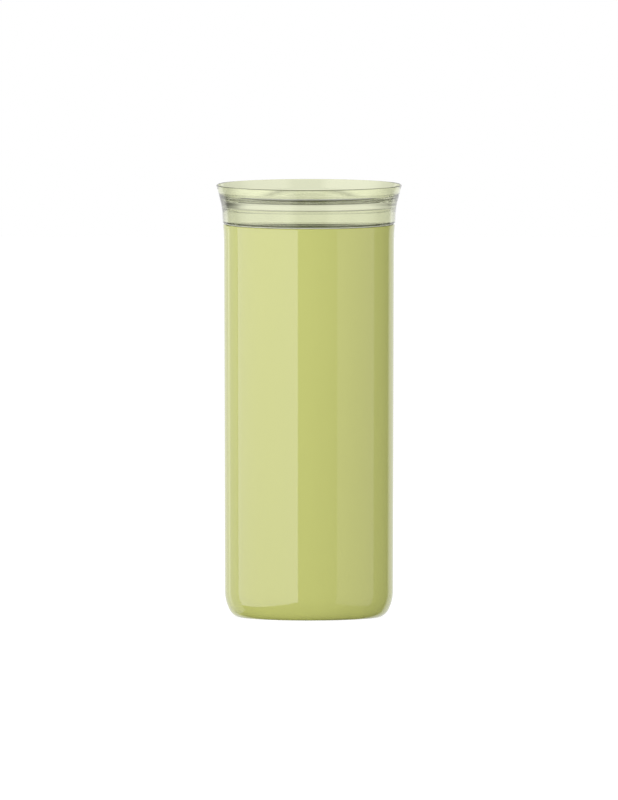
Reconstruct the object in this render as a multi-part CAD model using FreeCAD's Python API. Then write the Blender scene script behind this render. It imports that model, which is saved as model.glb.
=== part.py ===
# Tall storage canister: a lacquered glass jar, a hollow blown lid and the lipped seal on its plug.
# Millimetres, +Z up, origin at the centre of the foot on the shelf.
import FreeCAD, Part
import math
import os

# Jar
body_diameter = 108.5       # over the lacquer, just above the heel
jar_height = 253.8          # shelf to the top of the bare glass rim
wall = 3.5
base_thickness = 7.0
wall_draft = 0.16           # degrees, the mould opens upwards
heel_radius = 26.0          # long rounding where the wall turns in
heel_turn = 28.0            # degrees that it turns before the base corner
base_corner = 8.5           # short rounding on to the foot
inner_corner = 12.0
foot_ring_radius = 31.0     # inner edge of the flat ring that stands on the shelf
push_up = 2.5               # hollow of the underside inside that ring
mouth_length = 11.0         # stretch below the rim that swells
mouth_swell = 0.5
rim_round = 1.2

# Lacquer on the outside of the jar
coat = 0.45
coat_rim_angle = 40.0       # degrees over the rim's rounding where the lacquer is masked
coat_end_angle = 66.0       # degrees down the base corner where the lacquer stops

# Lid
lid_height = 24.7           # seat to the top of the flared rim
seat_overhang = 0.2
seat_edge = 0.5
seat_web = 1.1              # glass between the seat and the hollow above it
collar_height = 6.7         # plain cone above the seat
collar_angle = 3.6
collar_wall = 2.6           # glass at the foot of the collar
hollow_draft = 1.2          # degrees, the hollow narrows upwards
hollow_fillet = 1.2
web_fillet = 0.5
web_round = 0.4
bend_radius = 36.0          # between the collar and the flare
flare_angle = 13.0
flare_radius = 220.0
lip_thickness = 0.9         # glass at the flared rim
dish_angle = 15.0           # lean of the dish wall
dish_depth = 9.7
dish_fillet = 6.2
dish_floor = 3.6
plug_length = 14.4
plug_wall = 2.5
bead_height = 1.8           # foot of the plug that keeps the seal on
bead_reach = 0.5

# Seal
seal_flange = 0.6           # between the jar's rim and the lid's seat
flange_inset = 0.4
sleeve = 1.0
lip_reach = 0.6
lip_width = 2.2
lip_pitch = 3.6
lip_count = 3
lip_clearance = 0.2         # from the lips to the jar's bore


def around(centre, radius, degrees):
    """Point on a circle in the (radius, height) plane, 0 degrees pointing outwards."""
    turn = math.radians(degrees)
    return (centre[0] + radius * math.cos(turn), centre[1] + radius * math.sin(turn))


# Places that follow from the sizes above
heel_rise = math.sin(math.radians(heel_turn))
heel_height = heel_radius * heel_rise + base_corner * (1 - heel_rise)
glass_radius = body_diameter / 2 - coat
heel_centre = (glass_radius - heel_radius, heel_height)
corner_centre = around(heel_centre, heel_radius - base_corner, -heel_turn)
neck_height = jar_height - mouth_length
neck_radius = glass_radius + (neck_height - heel_height) * math.tan(math.radians(wall_draft))
rim_radius = neck_radius + mouth_swell
bore_radius = neck_radius - wall
rim_outer = (rim_radius - rim_round, jar_height - rim_round)
mouth_middle = (neck_radius + mouth_swell / 4, (neck_height + rim_outer[1]) / 2)
sleeve_radius = bore_radius - lip_clearance - lip_reach
plug_radius = sleeve_radius - sleeve
seat_height = jar_height + seal_flange
seat_radius = rim_radius + coat + seat_overhang
lid_top = seat_height + lid_height
plug_bottom = seat_height - plug_length
bead_top = plug_bottom + bead_height


def arc(centre, radius, start, end):
    """Arc step of an outline: its middle point and its end point."""
    return (around(centre, radius, (start + end) / 2), around(centre, radius, end))


def bend(start, heading, end_heading, radius):
    """Arc step that turns an upward line outwards, headings in degrees from the vertical."""
    centre = (start[0] + radius * math.cos(math.radians(heading)),
              start[1] - radius * math.sin(math.radians(heading)))
    return arc(centre, radius, 180 - heading, 180 - end_heading)


def turned(start, steps):
    """Solid of revolution about Z from a closed outline of lines and arcs."""
    edges = []
    here = FreeCAD.Vector(start[0], 0, start[1])
    for step in list(steps) + [start]:
        points = step if isinstance(step[0], tuple) else (step,)
        ends = [FreeCAD.Vector(r, 0, z) for r, z in points]
        if len(ends) == 2:
            edges.append(Part.Arc(here, ends[0], ends[1]).toShape())
        elif here.distanceToPoint(ends[0]) > 1e-6:
            edges.append(Part.LineSegment(here, ends[0]).toShape())
        here = ends[-1]
    face = Part.Face(Part.Wire(edges))
    return face.revolve(FreeCAD.Vector(0, 0, 0), FreeCAD.Vector(0, 0, 1), 360)


def out(point, distance):
    """The point moved outwards."""
    return (point[0] + distance, point[1])


def jar_body():
    """Blown glass jar: push-up base on a flat foot ring, rounded heel, swelling mouth."""
    rim_inner = (bore_radius + rim_round, jar_height - rim_round)
    floor_corner = (glass_radius - wall - inner_corner, base_thickness + inner_corner)
    hollow = (foot_ring_radius ** 2 + push_up ** 2) / (2 * push_up)
    hollow_middle = foot_ring_radius / 2
    hollow_height = push_up - hollow + math.sqrt(hollow ** 2 - hollow_middle ** 2)
    return turned((0, push_up), [
        ((hollow_middle, hollow_height), (foot_ring_radius, 0)),
        (corner_centre[0], 0),
        arc(corner_centre, base_corner, -90, -coat_end_angle),
        arc(corner_centre, base_corner, -coat_end_angle, -heel_turn),
        arc(heel_centre, heel_radius, -heel_turn, 0),
        (neck_radius, neck_height),
        (mouth_middle, (rim_radius, rim_outer[1])),
        arc(rim_outer, rim_round, 0, coat_rim_angle),
        arc(rim_outer, rim_round, coat_rim_angle, 90),
        (rim_inner[0], jar_height),
        arc(rim_inner, rim_round, 90, 180),
        (bore_radius, neck_height),
        (glass_radius - wall, floor_corner[1]),
        arc(floor_corner, inner_corner, 0, -90),
        (0, base_thickness),
    ])


def colour_coat():
    """Sprayed lacquer skin on the outside of the jar, masked over the rim and short of the foot."""
    return turned(around(corner_centre, base_corner, -coat_end_angle), [
        around(corner_centre, base_corner + coat, -coat_end_angle),
        arc(corner_centre, base_corner + coat, -coat_end_angle, -heel_turn),
        arc(heel_centre, heel_radius + coat, -heel_turn, 0),
        (neck_radius + coat, neck_height),
        (out(mouth_middle, coat), (rim_radius + coat, rim_outer[1])),
        arc(rim_outer, rim_round + coat, 0, coat_rim_angle),
        around(rim_outer, rim_round, coat_rim_angle),
        arc(rim_outer, rim_round, coat_rim_angle, 0),
        (mouth_middle, (neck_radius, neck_height)),
        (glass_radius, heel_height),
        arc(heel_centre, heel_radius, 0, -heel_turn),
        arc(corner_centre, base_corner, -heel_turn, -coat_end_angle),
    ])


def collar_fillet_centre(height, fillet):
    """Centre of a fillet that touches the drafted inside of the collar."""
    draft = math.radians(hollow_draft)
    inside = seat_radius - collar_wall - (height - seat_height) * math.tan(draft)
    return (inside - fillet / math.cos(draft), height)


def lid_glass():
    """Hollow blown lid: flared grip, top pushed in to a dish, seat, and an open plug with a bead."""
    edge = (seat_radius - seat_edge, seat_height + seat_edge)
    collar_top = (seat_radius + (collar_height - seat_edge) * math.tan(math.radians(collar_angle)),
                  seat_height + collar_height)
    to_flare = bend(collar_top, collar_angle, flare_angle, bend_radius)
    lip_centre_height = lid_top - lip_thickness / 2
    rise = lip_centre_height - to_flare[1][1]
    top_angle = math.degrees(math.asin(rise / flare_radius + math.sin(math.radians(flare_angle))))
    flare = bend(to_flare[1], flare_angle, top_angle, flare_radius)
    lip_inside = out(flare[1], -lip_thickness)
    lean = math.radians(dish_angle)
    floor_height = lid_top - dish_depth
    fillet_height = floor_height + dish_fillet
    fillet_wall = lip_inside[0] - (lip_inside[1] - fillet_height) * math.tan(lean)
    fillet = (fillet_wall - dish_fillet / math.cos(lean), fillet_height)
    ceiling = floor_height - dish_floor
    web_top = seat_height + seat_web
    upper = collar_fillet_centre(ceiling - hollow_fillet, hollow_fillet)
    lower = collar_fillet_centre(web_top + web_fillet, web_fillet)
    plug_inside = plug_radius - plug_wall
    return turned((0, ceiling), [
        (upper[0], ceiling),
        arc(upper, hollow_fillet, 90, hollow_draft),
        around(lower, web_fillet, hollow_draft),
        arc(lower, web_fillet, hollow_draft, -90),
        (plug_inside + web_round, web_top),
        arc((plug_inside + web_round, web_top - web_round), web_round, 90, 180),
        (plug_inside, plug_bottom),
        (plug_radius, plug_bottom),
        ((plug_radius + bead_reach, plug_bottom + bead_height / 2), (plug_radius, bead_top)),
        (plug_radius, seat_height),
        (edge[0], seat_height),
        arc(edge, seat_edge, -90, 0),
        collar_top,
        to_flare,
        flare,
        ((flare[1][0] - lip_thickness / 2, lid_top), lip_inside),
        around(fillet, dish_fillet, -dish_angle),
        arc(fillet, dish_fillet, -dish_angle, -90),
        (0, floor_height),
    ])


def lid_seal():
    """Soft ring stretched over the plug: flange under the seat and lips that wipe the bore."""
    flange_radius = rim_radius - flange_inset
    first_lip = (bead_top + jar_height - (lip_count - 1) * lip_pitch) / 2
    steps = [(sleeve_radius, bead_top)]
    for number in range(lip_count):
        middle = first_lip + number * lip_pitch
        steps.append((sleeve_radius, middle - lip_width / 2))
        steps.append(((sleeve_radius + lip_reach, middle), (sleeve_radius, middle + lip_width / 2)))
    steps += [
        (sleeve_radius, jar_height),
        (flange_radius, jar_height),
        (flange_radius, seat_height),
        (plug_radius, seat_height),
    ]
    return turned((plug_radius, bead_top), steps)


os.makedirs("parts", exist_ok=True)
for piece in (jar_body, colour_coat, lid_glass, lid_seal):
    solid = piece()
    solid.exportStep("parts/" + piece.__name__ + ".step")
    print(piece.__name__, solid.isValid(), len(solid.Solids), round(solid.Volume / 1000, 2), "cm3")
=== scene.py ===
import bmesh
import bpy
import math
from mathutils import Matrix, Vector


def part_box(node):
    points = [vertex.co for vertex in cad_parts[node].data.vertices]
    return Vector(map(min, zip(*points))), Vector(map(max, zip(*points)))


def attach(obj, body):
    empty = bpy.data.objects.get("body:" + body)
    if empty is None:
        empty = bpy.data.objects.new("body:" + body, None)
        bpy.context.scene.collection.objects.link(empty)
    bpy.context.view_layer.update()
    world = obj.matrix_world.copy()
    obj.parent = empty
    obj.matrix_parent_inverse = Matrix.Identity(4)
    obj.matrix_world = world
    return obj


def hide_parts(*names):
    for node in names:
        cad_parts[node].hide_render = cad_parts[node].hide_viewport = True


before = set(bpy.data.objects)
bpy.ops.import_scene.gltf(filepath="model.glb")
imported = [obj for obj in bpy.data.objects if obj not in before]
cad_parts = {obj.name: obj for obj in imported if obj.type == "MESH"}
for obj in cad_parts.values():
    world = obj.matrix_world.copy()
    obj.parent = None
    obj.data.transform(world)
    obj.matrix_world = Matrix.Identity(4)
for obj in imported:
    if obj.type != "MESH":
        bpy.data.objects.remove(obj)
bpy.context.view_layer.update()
scene = bpy.context.scene
scene.view_settings.view_transform = "Standard"

# The jar
# A tall jar of blown clear glass with a thick base. It stands on a flat ring round a shallow push-up,
# and its rim is fire-polished and left bare. Like every piece here it is an outline spun about Z.
jar_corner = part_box("jar_body")[1]
jar_height = jar_corner.z
rim_radius = jar_corner.x
rim_round = 0.0012
mouth_length = 0.011
mouth_swell = 0.0005
swell_shares = (0.0, 0.25, 0.5, 0.75, 1.0)
neck_radius = rim_radius - mouth_swell
neck_height = jar_height - mouth_length
jar_wall = 0.0035
jar_draft = 0.16
bore_radius = neck_radius - jar_wall
heel_turn = 28.0
heel_radius = 0.026
base_corner = 0.0085
base_thickness = 0.007
inner_corner = 0.012
foot_ring_radius = 0.031
push_up = 0.0025
weld_distance = 1e-6
crisp_angle = 32.0


def around(centre, radius, degrees):
    """Point on a circle in the plane of an outline, 0 degrees pointing outwards."""
    turn = math.radians(degrees)
    return centre[0] + radius * math.cos(turn), centre[1] + radius * math.sin(turn)


def bow(width, reach):
    """Radius of an arc that stands out by a reach over a width, and the degrees that it turns."""
    radius = ((width / 2) ** 2 + reach ** 2) / (2 * reach)
    return radius, 2 * math.degrees(math.asin(width / 2 / radius))


def start_outline(radius, height):
    """New outline in the half plane of X and Z, with its first point."""
    outline = bmesh.new()
    return outline, outline.verts.new((radius, 0, height))


def line_to(outline, tip, radius, height):
    """Draw a straight stretch and return its end."""
    end = bmesh.ops.extrude_vert_indiv(outline, verts=[tip])["verts"][0]
    end.co = (radius, 0, height)
    return end


def arc_to(outline, tip, centre, degrees, step=5.0):
    """Draw a round stretch about a centre (radius, height), counter-clockwise if positive."""
    steps = max(2, round(abs(degrees) / step))
    turned = bmesh.ops.spin(outline, geom=[tip], cent=(centre[0], 0, centre[1]), axis=(0, -1, 0),
                            angle=math.radians(degrees), steps=steps)
    return turned["geom_last"][0]


def mouth_point(share, skin=0.0):
    """Point on the outside of the swelling mouth: share 0 is at the neck, share 1 at the rim's rounding."""
    height = neck_height + share * (mouth_length - rim_round)
    return neck_radius + mouth_swell * share ** 2 + skin, height


def turn_piece(name, outline, segments=240):
    """Spin an outline about Z into a closed piece with smooth rounds and crisp edges."""
    bmesh.ops.spin(outline, geom=outline.verts[:] + outline.edges[:], cent=(0, 0, 0), axis=(0, 0, 1),
                   angle=math.tau, steps=segments, use_merge=True)
    bmesh.ops.remove_doubles(outline, verts=outline.verts, dist=weld_distance)
    bmesh.ops.recalc_face_normals(outline, faces=outline.faces)
    mesh = bpy.data.meshes.new(name)
    outline.to_mesh(mesh)
    outline.free()
    mesh.shade_smooth()
    mesh.set_sharp_from_angle(angle=math.radians(crisp_angle))
    piece = bpy.data.objects.new(name, mesh)
    scene.collection.objects.link(piece)
    return piece


heel_rise = math.sin(math.radians(heel_turn))
heel_height = heel_radius * heel_rise + base_corner * (1 - heel_rise)
glass_radius = neck_radius - (neck_height - heel_height) * math.tan(math.radians(jar_draft))
heel_centre = (glass_radius - heel_radius, heel_height)
corner_centre = around(heel_centre, heel_radius - base_corner, -heel_turn)
rim_outer = (rim_radius - rim_round, jar_height - rim_round)
rim_inner = (bore_radius + rim_round, jar_height - rim_round)
inside_corner = (glass_radius - jar_wall - inner_corner, base_thickness + inner_corner)
push_up_radius, push_up_turn = bow(2 * foot_ring_radius, push_up)
outline, tip = start_outline(0, push_up)
tip = arc_to(outline, tip, (0, push_up - push_up_radius), -push_up_turn / 2, step=1)
tip = line_to(outline, tip, corner_centre[0], 0)
tip = arc_to(outline, tip, corner_centre, 90 - heel_turn)
tip = arc_to(outline, tip, heel_centre, heel_turn, step=3)
for share in swell_shares:
    tip = line_to(outline, tip, *mouth_point(share))
tip = arc_to(outline, tip, rim_outer, 90, step=10)
tip = line_to(outline, tip, rim_inner[0], jar_height)
tip = arc_to(outline, tip, rim_inner, 90, step=10)
tip = line_to(outline, tip, bore_radius, neck_height)
tip = line_to(outline, tip, glass_radius - jar_wall, inside_corner[1])
tip = arc_to(outline, tip, inside_corner, -90)
line_to(outline, tip, 0, base_thickness)
jar = turn_piece("jar", outline)


def clear_glass(name, tint, waviness, haze):
    """Clear glass with the slight waves of a blown surface, and a tint and a haze that drift with them."""
    tint_drift = 0.985
    haze_drift = 0.4
    glass = bpy.data.materials.new(name)
    glass.use_nodes = True
    nodes = glass.node_tree.nodes
    links = glass.node_tree.links
    shader = nodes["Principled BSDF"]
    shader.inputs["Transmission Weight"].default_value = 1.0
    shader.inputs["IOR"].default_value = 1.5
    place = nodes.new("ShaderNodeTexCoord")
    waves = nodes.new("ShaderNodeTexNoise")
    waves.inputs["Scale"].default_value = 45.0
    waves.inputs["Detail"].default_value = 1.0
    links.new(place.outputs["Object"], waves.inputs["Vector"])
    bump = nodes.new("ShaderNodeBump")
    bump.inputs["Strength"].default_value = waviness
    bump.inputs["Distance"].default_value = 0.001
    links.new(waves.outputs["Fac"], bump.inputs["Height"])
    links.new(bump.outputs["Normal"], shader.inputs["Normal"])
    colour = nodes.new("ShaderNodeMix")
    colour.data_type = "RGBA"
    colour.inputs["A"].default_value = (*tint, 1.0)
    colour.inputs["B"].default_value = (*(tint_drift * channel for channel in tint), 1.0)
    links.new(waves.outputs["Fac"], colour.inputs["Factor"])
    links.new(colour.outputs["Result"], shader.inputs["Base Color"])
    polish = nodes.new("ShaderNodeMapRange")
    polish.inputs["To Min"].default_value = (1 - haze_drift) * haze
    polish.inputs["To Max"].default_value = (1 + haze_drift) * haze
    links.new(waves.outputs["Fac"], polish.inputs["Value"])
    links.new(polish.outputs["Result"], shader.inputs["Roughness"])
    return glass


jar.data.materials.append(clear_glass("jar glass", (0.92, 0.95, 0.9), waviness=0.02, haze=0.015))
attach(jar, "jar")
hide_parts("jar_body")

# The lacquer
# An opaque green lacquer sprayed on the outside of the jar and baked, so it wets the glass and shines.
# It is carried on to the rim's rounding, and stops on the base corner short of the foot ring.
coat_depth = 0.00045
coat_bite = 0.00005
coat_end_angle = 66.0
coat_rim_angle = 40.0
outline, tip = start_outline(*around(corner_centre, base_corner - coat_bite, -coat_end_angle))
tip = line_to(outline, tip, *around(corner_centre, base_corner + coat_depth, -coat_end_angle))
tip = arc_to(outline, tip, corner_centre, coat_end_angle - heel_turn, step=3)
tip = arc_to(outline, tip, heel_centre, heel_turn, step=2)
for share in swell_shares:
    tip = line_to(outline, tip, *mouth_point(share, coat_depth))
tip = arc_to(outline, tip, rim_outer, coat_rim_angle, step=8)
tip = line_to(outline, tip, *around(rim_outer, rim_round - coat_bite, coat_rim_angle))
tip = arc_to(outline, tip, rim_outer, -coat_rim_angle, step=8)
for share in reversed(swell_shares[:-1]):
    tip = line_to(outline, tip, *mouth_point(share, -coat_bite))
tip = line_to(outline, tip, glass_radius - coat_bite, heel_height)
tip = arc_to(outline, tip, heel_centre, -heel_turn, step=2)
arc_to(outline, tip, corner_centre, heel_turn - coat_end_angle, step=3)
lacquer = turn_piece("lacquer", outline)


def green_lacquer():
    """Smooth baked lacquer: a faint drift of colour and gloss, and the least orange peel."""
    finish = bpy.data.materials.new("green lacquer")
    finish.use_nodes = True
    nodes = finish.node_tree.nodes
    links = finish.node_tree.links
    shader = nodes["Principled BSDF"]
    shader.inputs["IOR"].default_value = 1.5
    place = nodes.new("ShaderNodeTexCoord")
    drift = nodes.new("ShaderNodeTexNoise")
    drift.inputs["Scale"].default_value = 9.0
    drift.inputs["Detail"].default_value = 3.0
    links.new(place.outputs["Object"], drift.inputs["Vector"])
    colour = nodes.new("ShaderNodeMix")
    colour.data_type = "RGBA"
    colour.inputs["A"].default_value = (0.552, 0.577, 0.184, 1.0)
    colour.inputs["B"].default_value = (0.572, 0.595, 0.198, 1.0)
    links.new(drift.outputs["Fac"], colour.inputs["Factor"])
    links.new(colour.outputs["Result"], shader.inputs["Base Color"])
    gloss = nodes.new("ShaderNodeMapRange")
    gloss.inputs["To Min"].default_value = 0.02
    gloss.inputs["To Max"].default_value = 0.05
    links.new(drift.outputs["Fac"], gloss.inputs["Value"])
    links.new(gloss.outputs["Result"], shader.inputs["Roughness"])
    peel = nodes.new("ShaderNodeTexNoise")
    peel.inputs["Scale"].default_value = 700.0
    links.new(place.outputs["Object"], peel.inputs["Vector"])
    bump = nodes.new("ShaderNodeBump")
    bump.inputs["Strength"].default_value = 0.015
    bump.inputs["Distance"].default_value = 0.0001
    links.new(peel.outputs["Fac"], bump.inputs["Height"])
    links.new(bump.outputs["Normal"], shader.inputs["Normal"])
    return finish


lacquer.data.materials.append(green_lacquer())
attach(lacquer, "jar")
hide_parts("colour_coat")

# The lid
# A hollow stopper of pale green glass, blown in one: a flared grip whose top is pushed in to a shallow
# dish, a seat that overhangs the jar, and an open plug with a bead that keeps the seal on.
lid_low, lid_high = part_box("lid_glass")
lid_top = lid_high.z
plug_bottom = lid_low.z
seat_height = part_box("lid_seal")[1].z
seat_overhang = 0.0002
seat_radius = rim_radius + coat_depth + seat_overhang
seat_edge = 0.0005
seat_web = 0.0011
collar_wall = 0.0026
collar_height = 0.0067
collar_angle = 3.6
hollow_draft = 1.2
hollow_fillet = 0.0012
web_fillet = 0.0005
web_round = 0.0004
bend_radius = 0.036
flare_angle = 13.0
flare_radius = 0.22
lip_thickness = 0.0009
dish_angle = 15.0
dish_depth = 0.0097
dish_fillet = 0.0062
dish_floor = 0.0036
sleeve_wall = 0.001
wiper_reach = 0.0006
wiper_clearance = 0.0002
plug_radius = bore_radius - wiper_clearance - wiper_reach - sleeve_wall
plug_wall = 0.0025
plug_inside = plug_radius - plug_wall
bead_height = 0.0018
bead_reach = 0.0005


def hollow_corner(height, fillet):
    """Centre of a fillet that touches the drafted inside of the collar."""
    draft = math.radians(hollow_draft)
    inside = seat_radius - collar_wall - (height - seat_height) * math.tan(draft)
    return inside - fillet / math.cos(draft), height


def bulge_to(outline, tip, height, reach, step):
    """Draw an arc that rises by a height and stands out by a reach on its way."""
    radius, turn = bow(height, reach)
    return arc_to(outline, tip, (tip.co.x + reach - radius, tip.co.z + height / 2), turn, step)


def bend_to(outline, tip, heading, end_heading, radius):
    """Draw an arc that leans an upward line further out, headings in degrees from the vertical."""
    centre = (tip.co.x + radius * math.cos(math.radians(heading)),
              tip.co.z - radius * math.sin(math.radians(heading)))
    return arc_to(outline, tip, centre, heading - end_heading, step=1)


dish_bottom = lid_top - dish_depth
ceiling = dish_bottom - dish_floor
web_top = seat_height + seat_web
upper_corner = hollow_corner(ceiling - hollow_fillet, hollow_fillet)
lower_corner = hollow_corner(web_top + web_fillet, web_fillet)
web_corner = (plug_inside + web_round, web_top - web_round)
seat_corner = (seat_radius - seat_edge, seat_height + seat_edge)
collar_reach = (collar_height - seat_edge) * math.tan(math.radians(collar_angle))
outline, tip = start_outline(0, ceiling)
tip = line_to(outline, tip, upper_corner[0], ceiling)
tip = arc_to(outline, tip, upper_corner, hollow_draft - 90)
tip = line_to(outline, tip, *around(lower_corner, web_fillet, hollow_draft))
tip = arc_to(outline, tip, lower_corner, -90 - hollow_draft, step=10)
tip = line_to(outline, tip, web_corner[0], web_top)
tip = arc_to(outline, tip, web_corner, 90, step=15)
tip = line_to(outline, tip, plug_inside, plug_bottom)
tip = line_to(outline, tip, plug_radius, plug_bottom)
tip = bulge_to(outline, tip, bead_height, bead_reach, step=20)
tip = line_to(outline, tip, plug_radius, seat_height)
tip = line_to(outline, tip, seat_corner[0], seat_height)
tip = arc_to(outline, tip, seat_corner, 90, step=15)
tip = line_to(outline, tip, seat_radius + collar_reach, seat_height + collar_height)
tip = bend_to(outline, tip, collar_angle, flare_angle, bend_radius)
rise = lid_top - lip_thickness / 2 - tip.co.z
top_angle = math.degrees(math.asin(rise / flare_radius + math.sin(math.radians(flare_angle))))
tip = bend_to(outline, tip, flare_angle, top_angle, flare_radius)
tip = arc_to(outline, tip, (tip.co.x - lip_thickness / 2, tip.co.z), 180, step=6)
fillet_height = dish_bottom + dish_fillet
fillet_wall = tip.co.x - (tip.co.z - fillet_height) * math.tan(math.radians(dish_angle))
dish_corner = (fillet_wall - dish_fillet / math.cos(math.radians(dish_angle)), fillet_height)
tip = line_to(outline, tip, *around(dish_corner, dish_fillet, -dish_angle))
tip = arc_to(outline, tip, dish_corner, dish_angle - 90, step=3)
line_to(outline, tip, 0, dish_bottom)
lid = turn_piece("lid", outline)
lid.data.materials.append(clear_glass("lid glass", (0.95, 0.96, 0.86), waviness=0.002, haze=0.03))
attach(lid, "lid")
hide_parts("lid_glass")

# The seal
# A soft, milky silicone ring stretched over the plug and held up by the bead. Its flange is pinched
# between the lid's seat and the jar's rim, and its rounded wipers end just short of the bore.
flange_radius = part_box("lid_seal")[1].x
seal_gap = 0.00003
sleeve_inside = plug_radius + seal_gap
sleeve_radius = plug_radius + sleeve_wall
wiper_width = 0.0022
wiper_pitch = 0.0036
wiper_count = 3
bead_top = plug_bottom + bead_height
first_wiper = (bead_top + jar_height - (wiper_count - 1) * wiper_pitch) / 2
outline, tip = start_outline(sleeve_inside, bead_top)
tip = line_to(outline, tip, sleeve_radius, bead_top)
for number in range(wiper_count):
    tip = line_to(outline, tip, sleeve_radius, first_wiper + number * wiper_pitch - wiper_width / 2)
    tip = bulge_to(outline, tip, wiper_width, wiper_reach, step=15)
tip = line_to(outline, tip, sleeve_radius, jar_height + seal_gap)
tip = line_to(outline, tip, flange_radius, jar_height + seal_gap)
tip = line_to(outline, tip, flange_radius, seat_height - seal_gap)
tip = line_to(outline, tip, sleeve_inside, seat_height - seal_gap)
line_to(outline, tip, sleeve_inside, bead_top)
seal = turn_piece("seal", outline, segments=180)


def milky_silicone():
    """Pale, milky silicone with a satin skin and a fine grain."""
    satin = 0.42
    satin_drift = 0.15
    silicone = bpy.data.materials.new("milky silicone")
    silicone.use_nodes = True
    nodes = silicone.node_tree.nodes
    links = silicone.node_tree.links
    shader = nodes["Principled BSDF"]
    shader.inputs["IOR"].default_value = 1.41
    shader.inputs["Transmission Weight"].default_value = 0.1
    place = nodes.new("ShaderNodeTexCoord")
    grain = nodes.new("ShaderNodeTexNoise")
    grain.inputs["Scale"].default_value = 300.0
    links.new(place.outputs["Object"], grain.inputs["Vector"])
    colour = nodes.new("ShaderNodeMix")
    colour.data_type = "RGBA"
    colour.inputs["A"].default_value = (0.78, 0.80, 0.68, 1.0)
    colour.inputs["B"].default_value = (0.82, 0.84, 0.73, 1.0)
    links.new(grain.outputs["Fac"], colour.inputs["Factor"])
    links.new(colour.outputs["Result"], shader.inputs["Base Color"])
    skin = nodes.new("ShaderNodeMapRange")
    skin.inputs["To Min"].default_value = (1 - satin_drift) * satin
    skin.inputs["To Max"].default_value = (1 + satin_drift) * satin
    links.new(grain.outputs["Fac"], skin.inputs["Value"])
    links.new(skin.outputs["Result"], shader.inputs["Roughness"])
    return silicone


seal.data.materials.append(milky_silicone())
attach(seal, "lid")
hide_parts("lid_seal")

# The floor
# A plain white table. The eye sees it nearly white, and a share of it still takes the canister's shadow.
# It lies a hair below the foot, so that the two faces never coincide.
floor_half = 4.0
floor_drop = 0.00005
outline = bmesh.new()
bmesh.ops.create_grid(outline, x_segments=1, y_segments=1, size=floor_half)
bmesh.ops.translate(outline, verts=outline.verts, vec=(0, 0, -floor_drop))
floor_mesh = bpy.data.meshes.new("floor")
outline.to_mesh(floor_mesh)
outline.free()
floor = bpy.data.objects.new("floor", floor_mesh)
scene.collection.objects.link(floor)
floor.visible_glossy = False
floor.visible_transmission = False


def white_paper():
    """Matt white that shows as the white background, with a share left for the shadow."""
    background_share = 0.68
    paper = bpy.data.materials.new("white paper")
    paper.use_nodes = True
    nodes = paper.node_tree.nodes
    links = paper.node_tree.links
    nodes.remove(nodes["Principled BSDF"])
    matt = nodes.new("ShaderNodeBsdfDiffuse")
    matt.inputs["Color"].default_value = (0.9, 0.9, 0.9, 1.0)
    white = nodes.new("ShaderNodeEmission")
    white.inputs["Strength"].default_value = 1.35
    path = nodes.new("ShaderNodeLightPath")
    share = nodes.new("ShaderNodeMath")
    share.operation = "MULTIPLY"
    share.inputs[1].default_value = background_share
    links.new(path.outputs["Is Camera Ray"], share.inputs[0])
    mix = nodes.new("ShaderNodeMixShader")
    links.new(share.outputs["Value"], mix.inputs["Fac"])
    links.new(matt.outputs["BSDF"], mix.inputs[1])
    links.new(white.outputs["Emission"], mix.inputs[2])
    links.new(mix.outputs["Shader"], nodes["Material Output"].inputs["Surface"])
    return paper


floor_mesh.materials.append(white_paper())

# The light
# Three soft boxes light what is matt: one on the left, a weak one on the right and a fill at the camera.
# Sheens beside them are what the lacquer and the lid mirror, each at its own strength, in a white room.
# Light crosses many walls of glass before it leaves the lid, so it may bounce often.
box_height = 1.6
box_middle = 0.3
lacquer_left_tint = (0.82, 0.77, 1.0)
lacquer_right_tint = (0.93, 0.8, 1.0)
lid_tint = (1.0, 1.0, 0.86)
white = (1.0, 1.0, 1.0)
scene.cycles.max_bounces = 24
scene.cycles.glossy_bounces = 16
scene.cycles.transmission_bounces = 24


def soft_box(name, bearing, distance, width, radiance):
    """Upright lamp that faces the jar and lights what is matt, bearing in degrees right of the camera."""
    lamp = bpy.data.lights.new(name, "AREA")
    lamp.shape = "RECTANGLE"
    lamp.size = width
    lamp.size_y = box_height
    lamp.energy = radiance * math.pi * width * box_height
    box = bpy.data.objects.new(name, lamp)
    scene.collection.objects.link(box)
    turn = math.radians(bearing)
    box.location = (distance * math.sin(turn), -distance * math.cos(turn), box_middle)
    facing = Vector((-box.location.x, -box.location.y, 0))
    box.rotation_euler = facing.to_track_quat("-Z", "Y").to_euler()
    box.visible_camera = False
    box.visible_transmission = False
    box.visible_glossy = False
    return box


def sheen(name, pieces, tint, **place):
    """Soft box that is seen only as a reflection, and only on these pieces."""
    box = soft_box(name, **place)
    box.visible_glossy = True
    box.visible_diffuse = False
    box.data.color = tint
    mirrors = bpy.data.collections.new(name)
    for piece in pieces:
        mirrors.objects.link(piece)
    box.light_linking.receiver_collection = mirrors
    return box


def fade_across(box, *stops):
    """Let a lamp's strength change over its width: each stop is a share of the width and a strength."""
    lamp = box.data
    lamp.use_nodes = True
    nodes = lamp.node_tree.nodes
    links = lamp.node_tree.links
    surface = nodes.new("ShaderNodeNewGeometry")
    split = nodes.new("ShaderNodeSeparateXYZ")
    links.new(surface.outputs["Parametric"], split.inputs["Vector"])
    fade = nodes.new("ShaderNodeValToRGB")
    marks = fade.color_ramp.elements
    for stop in stops[1:-1]:
        marks.new(stop[0])
    for mark, (share, strength) in zip(marks, stops):
        mark.position = share
        mark.color = (strength, strength, strength, 1.0)
    links.new(split.outputs["X"], fade.inputs["Fac"])
    links.new(fade.outputs["Color"], nodes["Emission"].inputs["Strength"])


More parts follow.
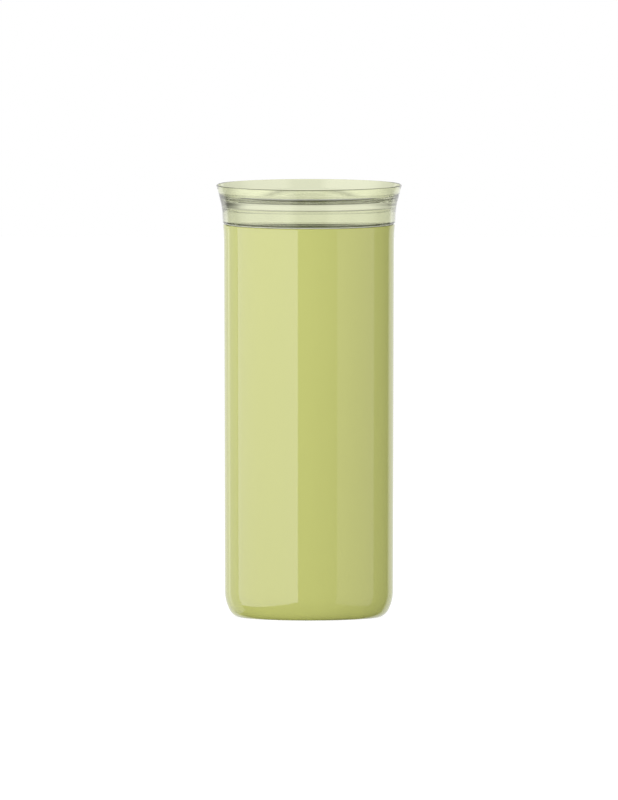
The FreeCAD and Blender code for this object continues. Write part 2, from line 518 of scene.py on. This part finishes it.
soft_box("left soft box", bearing=-63.5, distance=0.9, width=2.04, radiance=0.62)
soft_box("right soft box", bearing=68.0, distance=1.0, width=1.15, radiance=0.16)
soft_box("front fill", bearing=-2.0, distance=1.6, width=1.2, radiance=1.64)

coated = (lacquer, jar)
left_sheen = sheen("left sheen", coated, lacquer_left_tint,
                   bearing=-63.5, distance=0.88, width=2.0, radiance=2.6)
fade_across(left_sheen, (0.0, 0.85), (1.0, 1.2))
sheen("left rear sheen", coated, white, bearing=-126.5, distance=0.9, width=0.45, radiance=0.85)
sheen("right sheen", coated, lacquer_right_tint, bearing=68.0, distance=0.98, width=1.13, radiance=0.8)

stopper = (lid, seal)
lid_left_sheen = sheen("left sheen on the lid", stopper, lid_tint,
                       bearing=-63.5, distance=0.86, width=2.0, radiance=2.2)
fade_across(lid_left_sheen, (0.0, 0.0), (0.35, 1.0), (0.8, 1.0), (1.0, 0.0))
lid_right_sheen = sheen("right sheen on the lid", stopper, lid_tint,
                        bearing=62.0, distance=0.96, width=1.7, radiance=1.4)
fade_across(lid_right_sheen, (0.0, 0.0), (0.2, 1.0), (0.65, 1.0), (1.0, 0.0))


def white_room():
    """White for the eye, even light for what is matt, and a white wall in a dim room for what shines.

    What is seen through glass is the paper behind it, shaded towards the sides, the top and the foot.
    """
    paper_through_glass = (0.81, 0.825, 0.67)
    room = bpy.data.worlds.new("white room")
    room.use_nodes = True
    nodes = room.node_tree.nodes
    links = room.node_tree.links
    nodes.remove(nodes["Background"])

    def ramp(value, start, end, first, last):
        """Number that goes smoothly from first to last while a value goes from start to end."""
        node = nodes.new("ShaderNodeMapRange")
        node.interpolation_type = "SMOOTHSTEP"
        limits = {"From Min": start, "From Max": end, "To Min": first, "To Max": last}
        for name, number in limits.items():
            node.inputs[name].default_value = number
        links.new(value, node.inputs["Value"])
        return node.outputs["Result"]

    def product(first, *others):
        """Numbers multiplied together."""
        for other in others:
            node = nodes.new("ShaderNodeMath")
            node.operation = "MULTIPLY"
            links.new(first, node.inputs[0])
            links.new(other, node.inputs[1])
            first = node.outputs["Value"]
        return first

    def light(colour, strength=None):
        """Light of one colour, at full strength unless a strength is given."""
        node = nodes.new("ShaderNodeBackground")
        node.inputs["Color"].default_value = (*colour, 1.0)
        if strength is not None:
            links.new(strength, node.inputs["Strength"])
        return node.outputs["Background"]

    def either(share, plain, special):
        """The special light for a share of the rays, the plain one for the rest."""
        node = nodes.new("ShaderNodeMixShader")
        links.new(share, node.inputs["Fac"])
        links.new(plain, node.inputs[1])
        links.new(special, node.inputs[2])
        return node.outputs["Shader"]

    place = nodes.new("ShaderNodeTexCoord")
    split = nodes.new("ShaderNodeSeparateXYZ")
    links.new(place.outputs["Generated"], split.inputs["Vector"])
    across, depth, height = split.outputs
    path = nodes.new("ShaderNodeLightPath")
    glossy = path.outputs["Is Glossy Ray"]
    through = path.outputs["Is Transmission Ray"]
    direct = ramp(path.outputs["Diffuse Depth"], 0.25, 0.75, 1.0, 0.0)

    even = light(white, ramp(through, 0.0, 1.0, 0.6, 1.2))
    back_wall = ramp(depth, 0.70, 0.82, 0.06, 1.0)
    dim_ceiling = ramp(height, 0.12, 0.32, 1.0, 0.08)
    mirrored = light(white, product(back_wall, dim_ceiling))
    sky = ramp(height, 0.12, 0.40, 1.0, 0.7)
    ground = ramp(height, -0.45, -0.15, 1.25, 1.0)
    under_jar = ramp(height, -0.95, -0.65, 0.2, 1.0)
    left = ramp(across, -0.9, -0.5, 0.7, 1.0)
    right = ramp(across, 0.5, 0.9, 1.0, 0.2)
    behind = light(paper_through_glass, product(sky, ground, under_jar, left, right))

    seen = either(product(glossy, direct), even, mirrored)
    seen = either(product(through, direct), seen, behind)
    seen = either(path.outputs["Is Camera Ray"], seen, light(white))
    links.new(seen, nodes["World Output"].inputs["Surface"])
    return room


scene.world = white_room()

# The camera
# The picture was taken from far off, a little above the middle of the canister: its upright lines stay
# upright and its rim and foot curve alike, so the camera sees along parallel lines.
picture_height = 800        # pixels
picture_scale = 0.645e-3    # metres to a pixel
foot_row = 616.5            # pixel row of the centre of the foot
camera_distance = 3.0
camera_rise = math.radians(3.5)
aim = Vector((0.0, 0.0, (foot_row - picture_height / 2) * picture_scale / math.cos(camera_rise)))
lens = bpy.data.cameras.new("camera")
lens.type = "ORTHO"
lens.ortho_scale = picture_height * picture_scale
camera = bpy.data.objects.new("camera", lens)
scene.collection.objects.link(camera)
toward = Vector((0.0, -math.cos(camera_rise), math.sin(camera_rise)))
camera.location = aim + toward * camera_distance
camera.rotation_euler = (-toward).to_track_quat("-Z", "Y").to_euler()
scene.camera = camera
